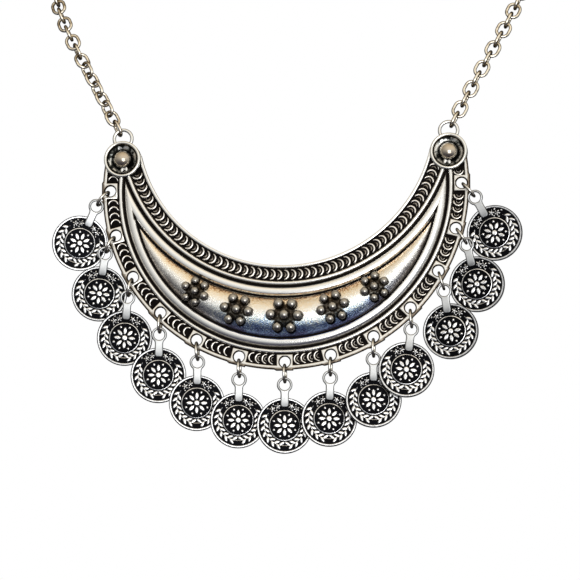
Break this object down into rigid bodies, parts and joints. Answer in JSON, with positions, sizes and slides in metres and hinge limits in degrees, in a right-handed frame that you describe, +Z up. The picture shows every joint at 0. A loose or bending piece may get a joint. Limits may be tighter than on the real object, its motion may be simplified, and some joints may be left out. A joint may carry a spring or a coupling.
{
  "type": "statement necklace",
  "caption": "Crescent bib necklace in antique-silver metal with ridges, a lens-shaped dome, granule clusters and coin charms on jump rings, hung from cable chains.",
  "frame": {"origin": "where the clasp bears on the nape, at the middle of the clasp's inner side", "axes": "+Z up as worn, +X towards the right of the picture (the wearer's left), the bib faces -Y"},
  "size_m": [0.161, 0.116, 0.1851],
  "materials": {
    "antique_silver": "polished relief over dark patina",
    "coin_silver": "polished relief over black patina",
    "chain_silver": "polished, pale warm silver"
  },
  "bodies": {
    "root": {"crescent_plate": "antique_silver", "coin_charm_01": "coin_silver", "coin_charm_02": "coin_silver", "coin_charm_03": "coin_silver", "coin_charm_04": "coin_silver", "coin_charm_05": "coin_silver", "coin_charm_06": "coin_silver", "coin_charm_07": "coin_silver", "coin_charm_08": "coin_silver", "coin_charm_09": "coin_silver", "coin_charm_10": "coin_silver", "coin_charm_11": "coin_silver", "coin_charm_12": "coin_silver", "coin_charm_13": "coin_silver", "jump_ring_01": "chain_silver", "jump_ring_02": "chain_silver", "jump_ring_03": "chain_silver", "jump_ring_04": "chain_silver", "jump_ring_05": "chain_silver", "jump_ring_06": "chain_silver", "jump_ring_07": "chain_silver", "jump_ring_08": "chain_silver", "jump_ring_09": "chain_silver", "jump_ring_10": "chain_silver", "jump_ring_11": "chain_silver", "jump_ring_12": "chain_silver", "jump_ring_13": "chain_silver", "chain_left": "chain_silver", "chain_right": "chain_silver", "clasp": "chain_silver"}
  },
  "joints": []
}
